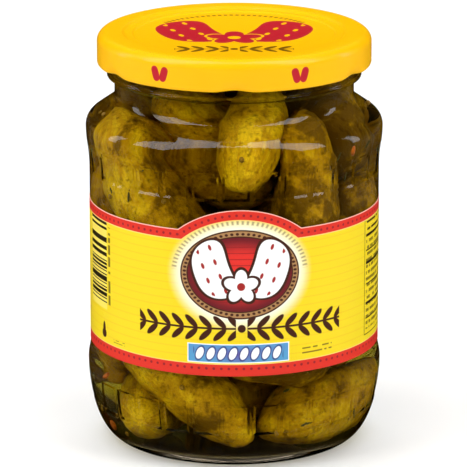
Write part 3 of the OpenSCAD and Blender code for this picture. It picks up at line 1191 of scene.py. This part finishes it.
def make_cap(settings):
    """The cap: turned, then its edge pressed in and up at each lug."""
    obj = turned("cap_metal", cap_outline(settings), 240)
    pitch = FULL_TURN / settings.lugs
    reach, press_in, press_up = 3.2 * MM, 0.9 * MM, 0.55 * MM
    for vertex in obj.data.vertices:
        low = max(0.0, 1 - (vertex.co.z - CAP_Z) / reach)
        radius = math.hypot(vertex.co.x, vertex.co.y)
        if low > 0 and radius > CAP_R - 4 * MM:
            off = (turn_of(vertex.co) / pitch + 0.5) % 1.0 - 0.5
            lug = max(0.0, math.cos(off * math.pi * 2.6)) ** 3 if abs(off) < 0.2 else 0.0
            press = 1 - press_in / radius * lug * low
            vertex.co.x *= press
            vertex.co.y *= press
            vertex.co.z += press_up * lug * low
    smooth(obj, 70)
    wear(obj, cap_material(settings))
    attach(obj, "root")
    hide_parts("lid")


def make_spices(settings):
    """Mustard seeds, dill bits and pepper flakes afloat between gherkins and glass."""
    dice = random.Random(settings.seed)
    inside_r = PANEL_R - 2.9 * MM
    below, above = (7, 30), (84, 112)

    def scatter(name, amount, size, material, squash, placed):
        """One piece of many grains: some at a placed (turn, height), the rest at random."""
        spots = list(placed)
        while len(spots) < amount:
            spots.append((dice.uniform(45, 315), dice.choice((dice.uniform(*below),
                                                              dice.uniform(*above)))))
        pieces = []
        for turn, height in spots:
            r = inside_r - size * 0.9 - max(0.0, 14 - height) * 0.4 * MM
            bpy.ops.mesh.primitive_ico_sphere_add(subdivisions=2, radius=size)
            grain = bpy.context.object
            grain.data.transform(Matrix.Diagonal((*squash, 1)))
            tilt = Euler([dice.uniform(0, FULL_TURN) for _ in range(3)]).to_matrix().to_4x4()
            a = math.radians(turn)
            spot = Vector((r * math.sin(a), -r * math.cos(a), height * MM))
            grain.data.transform(Matrix.Translation(spot) @ tilt)
            pieces.append(grain)
        whole = joined(name, pieces)
        smooth(whole, 60)
        wear(whole, material)
        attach(whole, "root")

    scatter("mustard_seeds", 30, 0.85 * MM, plain_material("seed_coat", rgb(150, 112, 20), 0.4),
            (1, 1, 0.92), ((3, 103), (-30, 88), (18, 12), (-22, 27)))
    scatter("dill_bits", 18, 1.1 * MM, plain_material("dill_leaf", rgb(72, 66, 8), 0.6),
            (1.7, 0.3, 0.4), ((-41, 97), (22, 26), (31, 14)))
    scatter("pepper_flakes", 9, 1.6 * MM, plain_material("pepper_flesh", rgb(214, 108, 10), 0.35),
            (1.2, 1.0, 0.5), ((57, 101), (-66, 24), (62, 34)))


# The stage -------------------------------------------------------------------------------

def lamp(name, place, target, size, power, seen):
    """Rectangular lamp aimed at a point; a lamp that isn't seen leaves no reflection."""
    data = bpy.data.lights.new(name, "AREA")
    data.shape = "RECTANGLE"
    data.size, data.size_y = size
    data.energy = power
    obj = bpy.data.objects.new(name, data)
    obj.location = place
    obj.rotation_euler = (Vector(target) - Vector(place)).to_track_quat("-Z", "Y").to_euler()
    obj.visible_glossy = seen
    bpy.context.scene.collection.objects.link(obj)


def floor_material(settings):
    """Pale studio floor, very slightly clouded."""
    kit = Kit("studio_floor")
    x, y, z = kit.place()
    cloud = kit.noise(kit.vector(x, y, z), 0.004, 2.0)
    shade = tuple(part * 0.98 for part in settings.floor)
    surface = kit.surface(Base_Color=kit.mix(cloud, settings.floor, shade), Roughness=0.7,
                          Specular_IOR_Level=0.2)
    return kit.finish(surface)


def make_stage(settings):
    """Floor, lamps, plain world and camera."""
    bpy.ops.mesh.primitive_plane_add(size=8, location=(0, 0, 0))
    floor = bpy.context.object
    floor.name = "studio_floor"
    floor.visible_glossy = False
    wear(floor, floor_material(settings))
    target = (0, 0, 0.07)
    lamp("softbox_left", (-0.53, -0.2, 0.78), target, (0.5, 1.2), 6.6, True)
    lamp("softbox_right", (0.5, -0.25, 0.8), target, (0.42, 1.2), 5.8, True)
    for name, side in (("left", -1), ("right", 1)):
        lamp(f"edge_{name}", (side * 1.1, 0.3, 0.4), target, (0.2, 0.7), 1.2, True)
        lamp(f"fill_{name}", (side * 0.8, -1.5, 0.55), target, (0.8, 0.8), 5.5, False)
    lamp("back_soft", (0.0, 1.3, 1.1), (0, 0.6, 0), (1.6, 0.9), 16.0, False)
    world = bpy.data.worlds.new("studio_air")
    bpy.context.scene.world = world
    world.use_nodes = True
    air = world.node_tree.nodes["Background"].inputs
    air["Color"].default_value = (1.0, 1.0, 1.0, 1.0)
    air["Strength"].default_value = 0.15
    world.cycles_visibility.glossy = False
    data = bpy.data.cameras.new("camera")
    data.lens = settings.lens
    data.sensor_width = 36
    data.shift_x = -0.0015
    data.clip_start = 0.05
    camera = bpy.data.objects.new("camera", data)
    camera.location = (0, -settings.distance, settings.height)
    aim = Vector((0, 0, settings.aim)) - camera.location
    camera.rotation_euler = aim.to_track_quat("-Z", "Y").to_euler()
    bpy.context.scene.collection.objects.link(camera)
    bpy.context.scene.camera = camera
    bpy.context.scene.view_settings.view_transform = "Standard"


# The add-on ------------------------------------------------------------------------------

class JAR_OT_stage(bpy.types.Operator):
    """Floor, lamps and camera"""

    bl_idname = "gherkin_jar.stage"
    bl_label = "Set the Stage"
    bl_options = {"REGISTER", "UNDO"}

    def execute(self, context):
        make_stage(context.scene.jar_stage)
        return {"FINISHED"}


class JAR_OT_glass(bpy.types.Operator):
    """Pressed glass jar with its two rings of windows"""

    bl_idname = "gherkin_jar.glass"
    bl_label = "Make the Glass"
    bl_options = {"REGISTER", "UNDO"}

    def execute(self, context):
        make_glass(context.scene.jar_glass)
        return {"FINISHED"}


class JAR_OT_brine(bpy.types.Operator):
    """Brine up to its level, reaching just into the wall"""

    bl_idname = "gherkin_jar.brine"
    bl_label = "Fill the Brine"
    bl_options = {"REGISTER", "UNDO"}

    def execute(self, context):
        make_brine(context.scene.jar_brine)
        return {"FINISHED"}


class JAR_OT_gherkins(bpy.types.Operator):
    """Gherkins that fill the jar, in two pieces"""

    bl_idname = "gherkin_jar.gherkins"
    bl_label = "Pack the Gherkins"
    bl_options = {"REGISTER", "UNDO"}

    def execute(self, context):
        make_gherkins(context.scene.jar_gherkins)
        return {"FINISHED"}


class JAR_OT_spices(bpy.types.Operator):
    """Mustard seeds, dill and pepper flakes"""

    bl_idname = "gherkin_jar.spices"
    bl_label = "Add the Spices"
    bl_options = {"REGISTER", "UNDO"}

    def execute(self, context):
        make_spices(context.scene.jar_gherkins)
        return {"FINISHED"}


class JAR_OT_label(bpy.types.Operator):
    """Printed paper label with its lap at the back"""

    bl_idname = "gherkin_jar.label"
    bl_label = "Stick the Label"
    bl_options = {"REGISTER", "UNDO"}

    def execute(self, context):
        make_label(context.scene.jar_label)
        return {"FINISHED"}


class JAR_OT_cap(bpy.types.Operator):
    """Enamelled twist cap with its lugs and curl"""

    bl_idname = "gherkin_jar.cap"
    bl_label = "Close the Cap"
    bl_options = {"REGISTER", "UNDO"}

    def execute(self, context):
        make_cap(context.scene.jar_cap)
        return {"FINISHED"}


OPERATORS = (JAR_OT_stage, JAR_OT_glass, JAR_OT_brine, JAR_OT_gherkins, JAR_OT_spices,
             JAR_OT_label, JAR_OT_cap)


class JAR_PT_panel(bpy.types.Panel):
    """Sidebar panel with every size, colour and step of the jar."""

    bl_label = "Gherkin Jar"
    bl_idname = "JAR_PT_panel"
    bl_space_type = "VIEW_3D"
    bl_region_type = "UI"
    bl_category = "Jar"

    def draw(self, context):
        for operator in OPERATORS:
            self.layout.operator(operator.bl_idname)
        for group, kind in GROUPS.items():
            box = self.layout.box()
            box.label(text=kind.__doc__)
            for key in kind.__annotations__:
                box.prop(getattr(context.scene, group), key)


CLASSES = (*GROUPS.values(), *OPERATORS, JAR_PT_panel)


def register():
    """Registers the classes and puts the settings on the scene."""
    for kind in CLASSES:
        bpy.utils.register_class(kind)
    for group, kind in GROUPS.items():
        setattr(bpy.types.Scene, group, PointerProperty(type=kind))


def unregister():
    """Takes the settings and the classes away again."""
    for group in GROUPS:
        delattr(bpy.types.Scene, group)
    for kind in reversed(CLASSES):
        bpy.utils.unregister_class(kind)


def main():
    """Builds the whole jar."""
    register()
    for operator in OPERATORS:
        getattr(bpy.ops.gherkin_jar, operator.bl_idname.split(".")[1])()


if __name__ == "__main__":
    main()
